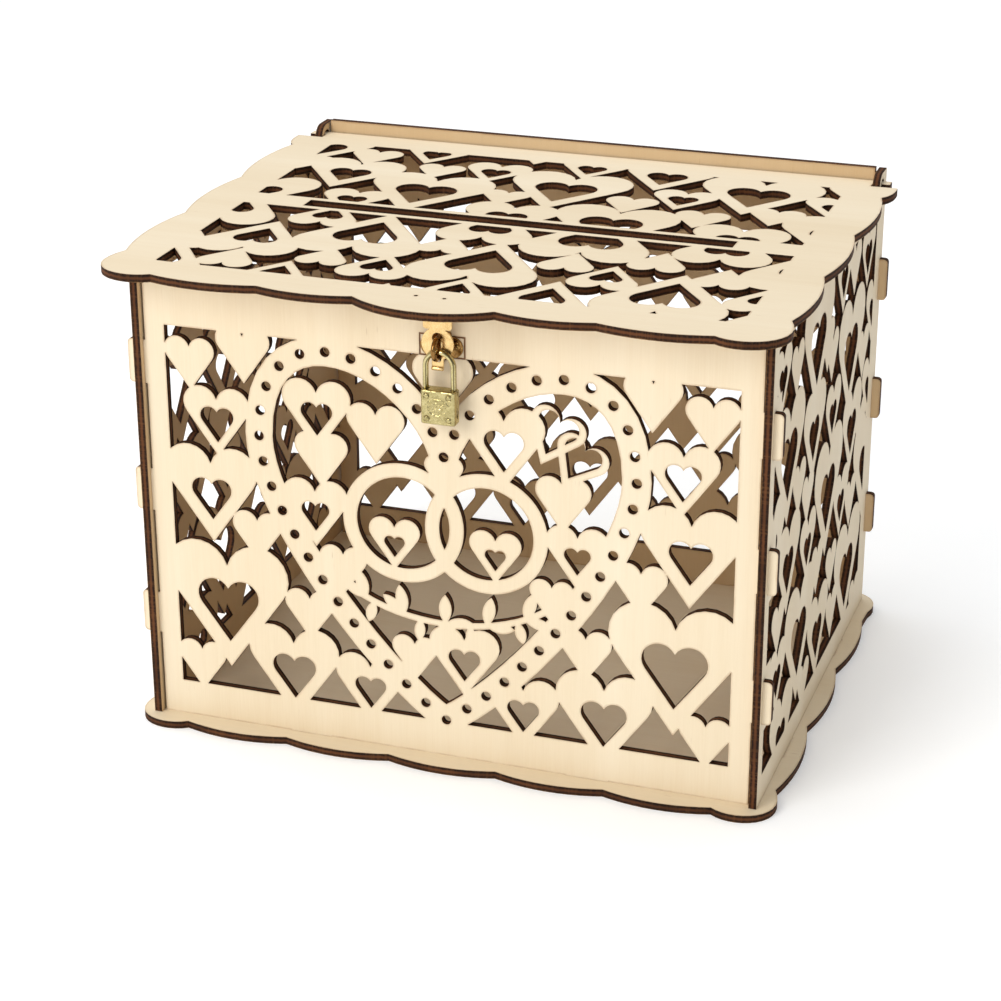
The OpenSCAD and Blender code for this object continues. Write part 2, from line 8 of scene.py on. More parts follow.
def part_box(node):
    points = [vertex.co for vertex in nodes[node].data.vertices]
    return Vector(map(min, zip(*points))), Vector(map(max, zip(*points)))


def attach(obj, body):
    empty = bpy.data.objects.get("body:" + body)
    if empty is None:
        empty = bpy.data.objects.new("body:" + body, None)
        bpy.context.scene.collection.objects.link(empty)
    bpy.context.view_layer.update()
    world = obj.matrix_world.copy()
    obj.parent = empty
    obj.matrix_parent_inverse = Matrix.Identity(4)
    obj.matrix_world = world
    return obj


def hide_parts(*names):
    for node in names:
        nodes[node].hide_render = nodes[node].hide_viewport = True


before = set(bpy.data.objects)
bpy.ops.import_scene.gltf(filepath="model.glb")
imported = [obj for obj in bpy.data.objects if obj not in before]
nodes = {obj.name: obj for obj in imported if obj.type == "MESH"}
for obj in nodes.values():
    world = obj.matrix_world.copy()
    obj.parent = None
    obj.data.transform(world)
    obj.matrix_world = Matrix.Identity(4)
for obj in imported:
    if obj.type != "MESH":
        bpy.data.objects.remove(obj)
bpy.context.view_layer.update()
scene = bpy.context.scene
MM = 0.001


# ---------------------------------------------------------------- node helpers

class Graph:
    """A material's node tree, with short names for the nodes that the materials use."""

    def __init__(self, name):
        self.mat = bpy.data.materials.new(name)
        self.mat.use_nodes = True
        self.tree = self.mat.node_tree
        self.bsdf = self.tree.nodes["Principled BSDF"]
        self.coord = self.tree.nodes.new("ShaderNodeTexCoord")

    def put(self, value, socket):
        if isinstance(value, bpy.types.NodeSocket):
            self.tree.links.new(value, socket)
        else:
            socket.default_value = value

    def math(self, op, a, b=0.0, c=0.0, clamp=False):
        n = self.tree.nodes.new("ShaderNodeMath")
        n.operation = op
        n.use_clamp = clamp
        for v, s in zip((a, b, c), n.inputs):
            self.put(v, s)
        return n.outputs[0]

    def vec(self, op, a, b=(0, 0, 0), out=0):
        n = self.tree.nodes.new("ShaderNodeVectorMath")
        n.operation = op
        self.put(a, n.inputs[0])
        self.put(b, n.inputs[1])
        return n.outputs[out]

    def noise(self, vector, scale, detail=3.0, rough=0.5, distortion=0.0):
        n = self.tree.nodes.new("ShaderNodeTexNoise")
        self.put(vector, n.inputs["Vector"])
        n.inputs["Scale"].default_value = scale
        n.inputs["Detail"].default_value = detail
        n.inputs["Roughness"].default_value = rough
        n.inputs["Distortion"].default_value = distortion
        return n.outputs["Fac"]

    def voronoi(self, vector, scale, out="Distance", feature="F1"):
        n = self.tree.nodes.new("ShaderNodeTexVoronoi")
        n.feature = feature
        self.put(vector, n.inputs["Vector"])
        n.inputs["Scale"].default_value = scale
        return n.outputs[out]

    def remap(self, value, a, b, c=0.0, d=1.0, smooth=False):
        n = self.tree.nodes.new("ShaderNodeMapRange")
        n.interpolation_type = "SMOOTHSTEP" if smooth else "LINEAR"
        self.put(value, n.inputs["Value"])
        for k, v in (("From Min", a), ("From Max", b), ("To Min", c), ("To Max", d)):
            n.inputs[k].default_value = v
        return n.outputs[0]

    def mix(self, factor, a, b, blend="MIX"):
        n = self.tree.nodes.new("ShaderNodeMix")
        n.data_type = "RGBA"
        n.blend_type = blend
        self.put(factor, n.inputs[0])
        for v, s in ((a, n.inputs[6]), (b, n.inputs[7])):
            self.put(v if isinstance(v, bpy.types.NodeSocket) else (*v, 1.0)[:4], s)
        return n.outputs[2]

    def ramp(self, value, stops):
        n = self.tree.nodes.new("ShaderNodeValToRGB")
        e = n.color_ramp.elements
        for k, (pos, colour) in enumerate(stops):
            el = e[k] if k < 2 else e.new(pos)
            el.position = pos
            el.color = (*colour, 1.0)
        self.put(value, n.inputs[0])
        return n.outputs[0]

    def bump(self, height, distance, strength=1.0):
        n = self.tree.nodes.new("ShaderNodeBump")
        n.inputs["Strength"].default_value = strength
        n.inputs["Distance"].default_value = distance
        self.put(height, n.inputs["Height"])
        return n.outputs[0]


# ---------------------------------------------------------------- plywood

def plywood(name, node, thick, grain, inside=0, seed=0.0):
    """Pale veneer on the sheet's two faces, and a laser-burnt three-ply edge on every cut.

    thick is the axis through the sheet and grain the axis along the veneer, 0 to 2. inside is the
    direction along thick, 1 or -1, that the sheet's inner face looks in; that face gets painted shade,
    a darker tint that stands in for the shadow inside the box."""
    g = Graph(name)
    lo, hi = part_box(node)
    across = 3 - thick - grain
    pos = g.vec("ADD", g.coord.outputs["Object"], (seed, seed * 0.7, seed * 1.3))
    plain = g.tree.nodes.new("ShaderNodeSeparateXYZ")
    g.put(g.coord.outputs["Object"], plain.inputs[0])
    normal = g.tree.nodes.new("ShaderNodeSeparateXYZ")
    g.put(g.coord.outputs["Normal"], normal.inputs[0])

    def stretched(along, side, through):
        scale = [0.0, 0.0, 0.0]
        scale[grain], scale[across], scale[thick] = along, side, through
        return g.vec("MULTIPLY", pos, tuple(scale))

    # Veneer: broad pale and darker bands, growth lines, fine fibre and a few pores
    bands = g.noise(stretched(1.6, 22, 3), 1.0, 3.0, 0.55, 0.6)
    lines = g.noise(stretched(6, 240, 20), 1.0, 4.0, 0.6, 0.3)
    fibre = g.noise(stretched(60, 2200, 200), 1.0, 3.0, 0.65)
    patch = g.noise(pos, 9.0, 3.0, 0.55)
    pores = g.voronoi(stretched(70, 700, 70), 1.0)
    pore = g.remap(pores, 0.05, 0.16, 1.0, 0.0, True)
    flecks = g.math("MULTIPLY", pore, g.remap(g.noise(pos, 55.0, 2.0), 0.56, 0.7, 0.0, 1.0, True))
    veneer = g.ramp(bands, [
        (0.25, (0.735, 0.600, 0.405)), (0.48, (0.785, 0.660, 0.470)), (0.75, (0.835, 0.725, 0.545))])
    veneer = g.mix(g.remap(lines, 0.35, 0.7, 0.0, 0.22), veneer, (0.72, 0.565, 0.365))
    veneer = g.mix(g.remap(fibre, 0.3, 0.75, 0.0, 0.24), veneer, (0.92, 0.82, 0.65))
    veneer = g.mix(g.remap(patch, 0.35, 0.75, 0.0, 0.22), veneer, (0.80, 0.645, 0.44))
    veneer = g.mix(g.math("MULTIPLY", flecks, 0.45), veneer, (0.42, 0.27, 0.14))

    # Smoke stain that the laser leaves beside its cuts
    near = g.tree.nodes.new("ShaderNodeAmbientOcclusion")
    near.inside = True
    near.samples = 4
    near.inputs["Distance"].default_value = 0.9 * MM
    stain_and_painted_streak = g.remap(near.outputs["AO"], 0.55, 1.0, 1.0, 0.0, True)
    stain_and_painted_streak = g.math("MULTIPLY", stain_and_painted_streak, g.remap(g.noise(pos, 130.0, 3.0), 0.3, 0.7, 0.15, 0.75))
    veneer = g.mix(stain_and_painted_streak, veneer, (0.40, 0.235, 0.115))
    # Painted shade: the face that looks into the box is darkened to stand in for the shadow inside it
    facing = g.math("MULTIPLY", normal.outputs[thick], float(inside))
    painted_shade_inside = g.mix(1.0, veneer, (0.80, 0.69, 0.56), "MULTIPLY")
    veneer = g.mix(g.math("GREATER_THAN", facing, 0.75), veneer, painted_shade_inside)

    # Cut edge: height through the sheet from 0 to 1, charred plies round a redder core
    through = g.remap(plain.outputs[thick], lo[thick], hi[thick])
    scorch = g.noise(stretched(420, 420, 60), 1.0, 3.0, 0.6)
    ripple = g.noise(stretched(1500, 1500, 45), 1.0, 2.0, 0.5)
    height = g.math("ADD", through, g.remap(scorch, 0.3, 0.7, -0.05, 0.05))
    edge = g.ramp(height, [
        (0.0, (0.260, 0.140, 0.060)), (0.09, (0.045, 0.019, 0.008)), (0.26, (0.014, 0.006, 0.003)),
        (0.36, (0.085, 0.029, 0.011)), (0.52, (0.125, 0.044, 0.016)), (0.66, (0.080, 0.028, 0.011)),
        (0.72, (0.010, 0.004, 0.003)), (0.90, (0.016, 0.007, 0.004)), (1.0, (0.070, 0.032, 0.014))])
    edge = g.mix(g.remap(ripple, 0.45, 0.75, 0.0, 0.45), edge, (0.170, 0.078, 0.032))
    edge = g.mix(g.remap(g.noise(pos, 60.0, 2.0), 0.4, 0.7, 0.0, 0.5), edge, (0.010, 0.005, 0.003))

    # A face below the sheet's own two faces is the bottom of an engraved line, so it is scorched
    flat = g.math("ABSOLUTE", normal.outputs[thick])
    is_face = g.math("GREATER_THAN", flat, 0.75)
    sunk = g.math("GREATER_THAN", g.math("MULTIPLY", through, g.math("SUBTRACT", 1.0, through)), 0.03)
    veneer = g.mix(sunk, veneer, (0.230, 0.105, 0.045))
    g.put(g.mix(is_face, edge, veneer), g.bsdf.inputs["Base Color"])
    rough_face = g.remap(fibre, 0.2, 0.8, 0.50, 0.66)
    rough_edge = g.remap(ripple, 0.3, 0.7, 0.62, 0.85)
    n = g.tree.nodes.new("ShaderNodeMix")
    g.put(is_face, n.inputs[0])
    g.put(rough_edge, n.inputs[2])
    g.put(rough_face, n.inputs[3])
    g.put(n.outputs[0], g.bsdf.inputs["Roughness"])
    g.put(g.remap(is_face, 0.0, 1.0, 0.12, 0.30), g.bsdf.inputs["Specular IOR Level"])
    relief = g.math("ADD", g.math("MULTIPLY", fibre, 0.5), g.math("MULTIPLY", lines, 0.5))
    relief = g.math("SUBTRACT", relief, g.math("MULTIPLY", flecks, 0.8))
    m = g.tree.nodes.new("ShaderNodeMix")
    g.put(is_face, m.inputs[0])
    g.put(ripple, m.inputs[2])
    g.put(relief, m.inputs[3])
    g.put(g.bump(m.outputs[0], 0.05 * MM, 0.7), g.bsdf.inputs["Normal"])
    return g.mat


def set_material(obj, mat):
    obj.data.materials.clear()
    obj.data.materials.append(mat)
    for p in obj.data.polygons:
        p.material_index = 0


X, Y, Z = 0, 1, 2
for name, thick, grain, inside, seed in (
    ("front_panel", Y, Z, 1, 0.0), ("back_panel", Y, Z, -1, 3.1), ("left_panel", X, Z, 1, 5.7),
    ("right_panel", X, Z, -1, 8.2), ("base_plate", Z, X, 0, 11.9), ("lid_panel", Z, X, -1, 14.3),
):
    set_material(nodes[name], plywood("plywood_" + name, name, thick, grain, inside, seed))


# ---------------------------------------------------------------- brass

def brass(name, base, dark, light, rough, dirt=0.5, cast=0.0, seed=0.0, painted_streak=0.0):
    """Brass with tarnish in its hollows, brighter worn edges and fine scratches.

    dirt is how dark the hollows are, cast how grainy the surface is, and streak how strong the
    painted reflection is: a dark band, painted in as a reflection, that runs along one side of a round bar."""
    g = Graph(name)
    pos = g.vec("ADD", g.coord.outputs["Object"], (seed, seed, seed))
    cloud = g.noise(pos, 420.0, 4.0, 0.6)
    fine = g.noise(pos, 2600.0, 3.0, 0.6)
    scratch = g.noise(g.vec("MULTIPLY", pos, (3500, 500, 260)), 1.0, 2.0, 0.5, 0.4)
    hollow = g.tree.nodes.new("ShaderNodeAmbientOcclusion")
    hollow.samples = 4
    hollow.inputs["Distance"].default_value = 0.8 * MM
    grime = g.math("MULTIPLY", g.remap(hollow.outputs["AO"], 0.35, 0.95, 1.0, 0.0, True), dirt)
    rim = g.tree.nodes.new("ShaderNodeAmbientOcclusion")
    rim.inside = True
    rim.samples = 4
    rim.inputs["Distance"].default_value = 0.25 * MM
    worn = g.math("MULTIPLY", g.remap(rim.outputs["AO"], 0.5, 0.95, 1.0, 0.0, True), 0.6)
    colour = g.mix(g.remap(cloud, 0.35, 0.7), base, dark)
    colour = g.mix(g.remap(fine, 0.45, 0.75, 0.0, 0.5), colour, light)
    colour = g.mix(worn, colour, light)
    normal = g.tree.nodes.new("ShaderNodeSeparateXYZ")
    g.put(g.coord.outputs["Normal"], normal.inputs[0])
    # Painted reflection: a dark band along one side of a round bar, where its normal leans about 0.35 towards
    # +X
    turned = g.math("ABSOLUTE", g.math("SUBTRACT", normal.outputs["X"], 0.35))
    stain_and_painted_streak = g.math("MULTIPLY", g.remap(turned, 0.10, 0.30, 1.0, 0.0, True), painted_streak)
    colour = g.mix(stain_and_painted_streak, colour, (0.10, 0.075, 0.025))
    colour = g.mix(grime, colour, (0.085, 0.050, 0.018))
    g.put(colour, g.bsdf.inputs["Base Color"])
    g.bsdf.inputs["Metallic"].default_value = 1.0
    r = g.math("ADD", g.remap(cloud, 0.3, 0.7, rough - 0.06, rough + 0.08), g.math("MULTIPLY", grime, 0.3))
    g.put(r, g.bsdf.inputs["Roughness"])
    h = g.math("ADD", g.math("MULTIPLY", scratch, 0.3), g.math("MULTIPLY", fine, 0.4 + cast))
    h = g.math("ADD", h, g.math("MULTIPLY", g.voronoi(pos, 1900.0), cast))
    g.put(g.bump(h, (0.012 + 0.04 * cast) * MM, 0.8), g.bsdf.inputs["Normal"])
    return g.mat


hasp_brass = brass("hasp_brass", (0.80, 0.56, 0.25), (0.66, 0.42, 0.16), (0.93, 0.76, 0.46), 0.24, 0.7)
aged_brass = brass("aged_brass", (0.30, 0.155, 0.045), (0.12, 0.055, 0.018), (0.62, 0.40, 0.15),
                   0.22, 0.9, 0.1, 2.0)
lock_brass = brass("lock_brass", (0.50, 0.42, 0.19), (0.32, 0.26, 0.10), (0.82, 0.74, 0.44),
                   0.22, 1.0, 0.4, 4.0)
# The shackle's brass gets the dark band of painted reflection, at strength 0.85
bow_brass = brass("bow_brass", (0.58, 0.49, 0.24), (0.40, 0.33, 0.14), (0.90, 0.82, 0.56),
                  0.12, 0.7, 0.0, 6.0, 0.85)


# ---------------------------------------------------------------- mesh helpers for the fittings

def arc(cx, cz, r, a0, a1, n):
    """Points of an arc from a0 to a1 degrees, both ends included."""
    steps = [math.radians(a0 + (a1 - a0) * i / n) for i in range(n + 1)]
    return [(cx + r * math.cos(a), cz + r * math.sin(a)) for a in steps]


def mirrored(right):
    """A closed outline from its right half, which runs down from the top of the middle line."""
    return right + [(-x, z) for x, z in reversed(right) if abs(x) > 1e-6]


def plate(outlines, thickness, bevel):
    """A sheet of metal in mm, in the XY plane, with rounded rims.

    The first outline is the rim and the rest are holes."""
    curve = bpy.data.curves.new("plate", "CURVE")
    curve.dimensions = "2D"
    curve.fill_mode = "BOTH"
    curve.extrude = thickness / 2 - bevel
    curve.bevel_depth = bevel
    curve.bevel_resolution = 2
    curve.offset = -bevel
    for points in outlines:
        spline = curve.splines.new("POLY")
        spline.points.add(len(points) - 1)
        for p, (x, y) in zip(spline.points, points):
            p.co = (x, y, 0.0, 1.0)
        spline.use_cyclic_u = True
    obj = bpy.data.objects.new("plate", curve)
    mesh = bpy.data.meshes.new_from_object(obj)
    bpy.data.objects.remove(obj)
    bm = bmesh.new()
    bm.from_mesh(mesh)
    bmesh.ops.remove_doubles(bm, verts=bm.verts, dist=1e-4)
    return bm


def tube(path, radii, side, n=28):
    """A round bar in mm along a path that lies in the plane square to side."""
    bm = bmesh.new()
    rings = []
    side = Vector(side)
    path = [Vector(p) for p in path]
    for k, (p, r) in enumerate(zip(path, radii)):
        before, after = path[max(k - 1, 0)], path[min(k + 1, len(path) - 1)]
        across = (after - before).normalized().cross(side)
        rings.append([bm.verts.new(p + r * (across * math.cos(t) + side * math.sin(t)))
                      for t in (math.tau * i / n for i in range(n))])
    for a, b in zip(rings, rings[1:]):
        for i in range(n):
            bm.faces.new((a[i], a[(i + 1) % n], b[(i + 1) % n], b[i]))
    bm.faces.new(reversed(rings[0]))
    bm.faces.new(rings[-1])
    bmesh.ops.recalc_face_normals(bm, faces=bm.faces)
    return bm


def bar(start, end, r, chamfer, side):
    """A straight round bar with chamfered ends."""
    a, b = Vector(start), Vector(end)
    step = (b - a).normalized() * chamfer
    return tube([a, a + step / 3, a + step, b - step, b - step / 3, b],
                [r - chamfer, r - chamfer / 3, r, r, r - chamfer / 3, r - chamfer], side)


def piece(name, parts, mat, body, node, sharp=38):
    """Joins bmeshes in mm into one object in metres that stands for a CAD node and moves with its body.

    Without a node it is a cutter. sharp is the angle in degrees from which an edge looks sharp."""
    mesh = bpy.data.meshes.new(name)
    joined = bmesh.new()
    for bm, place in parts:
        bm.transform(place)
        part = bpy.data.meshes.new("part")
        bm.to_mesh(part)
        bm.free()
        joined.from_mesh(part)
        bpy.data.meshes.remove(part)
    joined.transform(Matrix.Scale(MM, 4))
    joined.to_mesh(mesh)
    joined.free()
    obj = bpy.data.objects.new(name, mesh)
    scene.collection.objects.link(obj)
    shade(mesh, sharp)
    mesh.materials.append(mat)
    if node:
        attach(obj, body)
        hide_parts(node)
    return obj


def shade(mesh, sharp):
    """Shades a mesh smooth, except at edges sharper than an angle in degrees."""
    for p in mesh.polygons:
        p.use_smooth = True
    mesh.set_sharp_from_angle(angle=math.radians(sharp))


def cut(obj, cutters, sharp=38):
    """Takes the cutters out of obj for good."""
    for c in cutters:
        mod = obj.modifiers.new("cut", "BOOLEAN")
        mod.operation = "DIFFERENCE"
        mod.solver = "EXACT"
        mod.object = c
    depsgraph = bpy.context.evaluated_depsgraph_get()
    mesh = bpy.data.meshes.new_from_object(obj.evaluated_get(depsgraph))
    obj.modifiers.clear()
    obj.data = mesh
    for c in cutters:
        bpy.data.objects.remove(c)
    shade(mesh, sharp)


def mid(node):
    """The middle and the size of a CAD node in mm."""
    lo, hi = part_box(node)
    return (lo + hi) / 2 / MM, (hi - lo) / MM


HERE = Matrix.Identity(4)
FACE_FRONT = Matrix.Rotation(math.radians(90), 4, "X")      # the XY plane, stood up to face the front


# ---------------------------------------------------------------- hasp

pin_at, pin_size = mid("hasp_pin")
flap_lo, flap_hi = (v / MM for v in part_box("hasp_flap"))
hasp_y, hinge_z = pin_at.y, pin_at.z
knuckle_len = (pin_size.x - 0.4) / 3
knuckle_r = flap_hi.z - hinge_z
pin_half = pin_size.x / 2

hasp_pin = bar((-pin_half, hasp_y, hinge_z), (pin_half, hasp_y, hinge_z), pin_size.z / 2, 0.2, (0, 0, 1))
piece("pin", [(hasp_pin, HERE)], hasp_brass, "lid", "hasp_pin")

disc_r = (flap_hi.x - flap_lo.x) / 2
lip_r = 0.8                                                 # the tongue's rolled lip
lip_z = flap_lo.z + lip_r
disc_z = lip_z + 9.1                                        # middle of the disc
neck_half, neck_r = 5.4, 1.2                                # the plate between disc and hinge
neck_low, neck_top = disc_z + 5.2, hinge_z - 1.6
tongue_half = 2.2
slot_r, slot_top_r = 1.3, 1.9                               # ends of the keyhole slot
slot_low_z, slot_high_z = disc_z - 6.9 + slot_r, disc_z + 4.0 - slot_top_r
flap_t = 0.8
sheet_rim, web_rim = 0.16, 0.12                             # rounding of the rims of stamped parts

turn_start = math.degrees(math.asin((neck_low - disc_z) / disc_r))
turn_end = -math.degrees(math.acos(tongue_half / disc_r))
flap_half = (
    [(0.0, neck_top)] + arc(neck_half - neck_r, neck_top - neck_r, neck_r, 90, 0, 8)
    + arc(neck_half - neck_r, neck_low + neck_r, neck_r, 0, -90, 8)
    + arc(0, disc_z, disc_r, turn_start, turn_end, 40) + [(tongue_half, lip_z), (0.0, lip_z)])
meet = math.degrees(math.acos(slot_r / slot_top_r))
slot = mirrored(arc(0, slot_high_z, slot_top_r, 90, -meet, 14) + arc(0, slot_low_z, slot_r, 0, -90, 10))
flap_plate = plate([mirrored(flap_half), slot], flap_t, sheet_rim)
half = knuckle_len / 2 - 0.1
web_low, web_top = neck_top - 1, hinge_z - 0.5
web = plate([[(-half, web_low), (half, web_low), (half, web_top), (-half, web_top)]], flap_t, web_rim)
lip_at = hasp_y - lip_r / 2
stand = Matrix.Translation((0, hasp_y, 0)) @ FACE_FRONT
piece("flap", [
    (flap_plate, stand), (web, stand),
    (bar((-half, hasp_y, hinge_z), (half, hasp_y, hinge_z), knuckle_r, 0.25, (0, 0, 1)), HERE),
    (bar((-tongue_half, lip_at, lip_z), (tongue_half, lip_at, lip_z), lip_r, 0.3, (0, 0, 1)), HERE),
], hasp_brass, "flap", "hasp_flap")

leaf_lo, leaf_hi = (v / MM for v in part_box("hasp_leaf"))
leaf_r, leaf_t = 2.0, 0.8
leaf_half, leaf_near = (leaf_hi.x - leaf_lo.x) / 2, hasp_y - 1.5
leaf_outline = mirrored(
    [(0.0, leaf_near), (leaf_half, leaf_near)]
    + arc(leaf_half - leaf_r, leaf_lo.y + leaf_r, leaf_r, 0, -90, 10) + [(0.0, leaf_lo.y)])
leaf_place = Matrix.Translation((0, 0, leaf_hi.z - leaf_t / 2))
leaf_parts = [(plate([leaf_outline], leaf_t, sheet_rim), leaf_place)]
for s in (-1, 1):
    a, b = s * knuckle_len / 2, s * 1.5 * knuckle_len
    leaf_parts.append((bar((a, hasp_y, hinge_z), (b, hasp_y, hinge_z), knuckle_r, 0.25, (0, 0, 1)), HERE))
    arm = [(a, leaf_near - 0.3), (b, leaf_near - 0.3), (b, hasp_y), (a, hasp_y)]
    arm = arm if s > 0 else arm[::-1]
    leaf_parts.append((plate([arm], leaf_t, web_rim), leaf_place))
piece("leaf", leaf_parts, hasp_brass, "lid", "hasp_leaf")


# ---------------------------------------------------------------- screws

def screws(name, node, head, mat, body):
    """Domed screws with a cross recess. head points out of the metal: -Z or -Y."""
    lo, hi = (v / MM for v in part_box(node))
    axis = Vector(head)
    head_r, head_t, shank_r = 1.3, 0.6, 0.6
    length = (hi - lo).dot(Vector([abs(c) for c in axis]))
    centre = (lo + hi) / 2
    side = (1, 0, 0)
    heads, cutters = [], []
    for x in (lo.x + head_r, hi.x - head_r):
        tip = Vector((x, centre.y, centre.z)) - axis * length / 2
        seat = tip + axis * (length - head_t)
        steps = [(0.0, 0.15), (0.5, shank_r), (length - head_t, shank_r), (length - head_t, head_r - 0.05)]
        steps += [(length - head_t + head_t * math.sin(math.radians(a)), head_r * math.cos(math.radians(a)))
                  for a in (8, 25, 45, 62, 76)]
        heads.append((tube([tip + axis * d for d, _ in steps], [r for _, r in steps], side), HERE))
        twist = Matrix.Rotation(math.radians(25 + 40 * (x > 0)), 4, axis)
        for spin in (0, 90):
            turn = twist @ Matrix.Rotation(math.radians(spin), 4, axis)
            blade = bmesh.new()
            bmesh.ops.create_cube(blade, size=1.0)
            width, depth = 0.26, 0.7                        # of one arm of the cross recess
            along = Matrix.Diagonal((1.5, width, depth, 1) if abs(axis.z) else (1.5, depth, width, 1))
            sunk = Matrix.Translation(seat + axis * (head_t + 0.05)) @ turn @ along
            cutters.append(piece("cutter", [(blade, sunk)], mat, None, None))
    obj = piece(name, heads, mat, body, node)
    cut(obj, cutters)


screws("leaf_screws", "hasp_leaf_screws", (0, 0, -1), hasp_brass, "lid")
screws("plate_screws", "staple_screws", (0, -1, 0), aged_brass, "box")


# ---------------------------------------------------------------- staple

plate_at, plate_size = mid("staple_plate")
eye_at, eye_size = mid("staple_eye")
eye_lo, eye_hi = (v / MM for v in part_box("staple_eye"))
end_r = 3.9
end_x = plate_size.x / 2 - end_r
middle, tall = 3.5, 4.8
low = -0.7                                                  # middle of the wings below the eye's middle
staple_half = (
    [(0.0, tall), (middle, tall), (middle, low + end_r)] + arc(end_x, low, end_r, 90, -90, 24)
    + [(middle, low - end_r), (middle, -tall), (0.0, -tall)])
stand = Matrix.Translation((0, plate_at.y, eye_at.z)) @ FACE_FRONT
raised = arc(0, 0, 3.1, 0, 345, 23)
boss = plate([raised], 0.3, 0.12)
piece("staple_base", [
    (plate([mirrored(staple_half)], plate_size.y, 0.2), stand),
    (boss, Matrix.Translation((0, eye_hi.y - 0.1, eye_at.z)) @ FACE_FRONT),
], aged_brass, "box", "staple_plate")

wire = eye_size.x / 2
rise = eye_size.z / 2 - wire
nose = eye_lo.y + eye_size.z / 2
roots = [eye_hi.y, eye_hi.y - 0.4, eye_hi.y - 0.8]          # where the wire widens into the braze
loop = [(0, y, eye_at.z + rise) for y in roots]
loop += [(0, y, eye_at.z + z) for y, z in arc(nose, 0, rise, 90, 270, 28)]
loop += [(0, y, eye_at.z - rise) for y in reversed(roots)]
swell = [wire * 1.25, wire * 1.08, wire] + [wire] * 29 + [wire, wire * 1.08, wire * 1.25]
piece("staple_loop", [(tube(loop, swell, (1, 0, 0)), HERE)],
      aged_brass, "box", "staple_eye", 60)


# ---------------------------------------------------------------- padlock

bow_at, bow_size = mid("padlock_shackle")
bow_lo, bow_hi = (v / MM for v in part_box("padlock_shackle"))
lock_lo, lock_hi = (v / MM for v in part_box("padlock_body"))
lock_w, lock_t = lock_hi.x - lock_lo.x, lock_hi.y - lock_lo.y
HANG = Matrix.Translation((bow_at.x, 0, 0))                 # the padlock hangs a little to the right
bow_r = bow_size.y / 2
leg_x = bow_size.x / 2 - bow_r
arch_z = bow_hi.z - bow_r - leg_x
short_z = lock_hi.z - 3.4                                   # end of the short leg inside the body
bow_path = [(-leg_x, bow_lo.z + d) for d in (0.0, 0.12, 0.4)]
bow_path += arc(0, arch_z, leg_x, 180, 0, 36)
bow_path += [(leg_x, short_z + d) for d in (4.1, 3.9, 3.5, 3.3, 0.4, 0.12, 0.0)]
bow_radii = [bow_r - 0.35, bow_r - 0.12] + [bow_r] * 39
bow_radii += [bow_r - 0.3, bow_r - 0.3, bow_r, bow_r, bow_r - 0.12, bow_r - 0.35]
piece("bow", [(tube([(x, bow_at.y, z) for x, z in bow_path], bow_radii, (0, 1, 0), 36), HANG)],
      bow_brass, "shackle", "padlock_shackle", 50)


def relief(x, z):
    """Height of the cast pattern on the body's two faces: studs, and a hammered oval in a frame."""
    height = 0.09 * noise.fractal(Vector((x, z, 3.0)) * 1.3, 0.9, 2.2, 3)
    for sx in (-1, 1):
        for sz in (-1, 1):
            d = math.hypot(x - sx * (lock_w / 2 - 2.3), z - sz * (lock_h / 2 - 2.1)) / 0.95
            height += 0.42 * math.sqrt(max(0.0, 1 - d * d)) if d < 1 else -0.5 * max(0.0, 1.35 - d)
    ring = math.hypot(x / (lock_w / 2 - 2.4), z / (lock_h / 2 - 3.3))
    height += 0.20 * math.exp(-((ring - 1) / 0.10) ** 2)
    if ring < 0.95:
        height += 0.34 * noise.noise(Vector((x, z * 1.2, 9.0)) * 1.5) * (0.95 - ring) ** 0.25
    return max(-0.25, min(0.4, height))


lock_h = lock_hi.z - lock_lo.z
face_y = lock_t / 2 - 0.4
corner = 1.2
profile = [(0.55, 0.0), (0.28, 0.07), (0.1, 0.22), (0.0, 0.5)]          # inset and height of the rounded rims
levels = profile + [(0.0, 0.5 + (lock_h - 1.0) * i / 66) for i in range(1, 66)]
levels += [(d, lock_h - h) for d, h in reversed(profile)]


def section(inset):
    """The body's outline at one height, with an outward direction for each point."""
    hw, hd, r = lock_w / 2 - inset, face_y - inset, corner - inset * 0.6
    run = 56
    front = [(-hw + r + 2 * (hw - r) * i / run, -hd, 0, -1) for i in range(1, run)]
    east = [(hw, -hd + r + 2 * (hd - r) * i / 14, 1, 0) for i in range(1, 14)]
    out = []
    for pts, cx, cy, a0 in (
        (front, hw - r, -hd + r, -90), (east, hw - r, hd - r, 0),
        ([(-x, -y, -nx, -ny) for x, y, nx, ny in front], -hw + r, hd - r, 90),
        ([(-x, -y, -nx, -ny) for x, y, nx, ny in east], -hw + r, -hd + r, 180),
    ):
        out += pts
        for k in range(9):
            a = math.radians(a0 + 90 * k / 8)
            out.append((cx + r * math.cos(a), cy + r * math.sin(a), math.cos(a), math.sin(a)))
    return out


body_mesh = bmesh.new()
rings = []
for inset, h in levels:
    ring = []
    for x, y, nx, ny in section(inset):
        push = 0.0
        if abs(ny) > 0.99 and inset == 0.0 and abs(x) < lock_w / 2 - corner - 0.05:
            push = relief(x * math.copysign(1, -ny), h - lock_h / 2)
        elif abs(nx) > 0.99 and inset == 0.0:
            push = -0.14 * math.exp(-((abs(y) - 1.1) / 0.22) ** 2)
        ring.append(body_mesh.verts.new((x + nx * push, bow_at.y + y + ny * push, lock_lo.z + h)))
    rings.append(ring)
for a, b in zip(rings, rings[1:]):
    for i in range(len(a)):
        k = (i + 1) % len(a)
        body_mesh.faces.new((a[i], a[k], b[k], b[i]))
body_mesh.faces.new(reversed(rings[0]))
body_mesh.faces.new(rings[-1])
bmesh.ops.recalc_face_normals(body_mesh, faces=body_mesh.faces)
lock_body = piece("lock_case", [(body_mesh, HANG)], lock_brass, "lock", "padlock_body", 32)

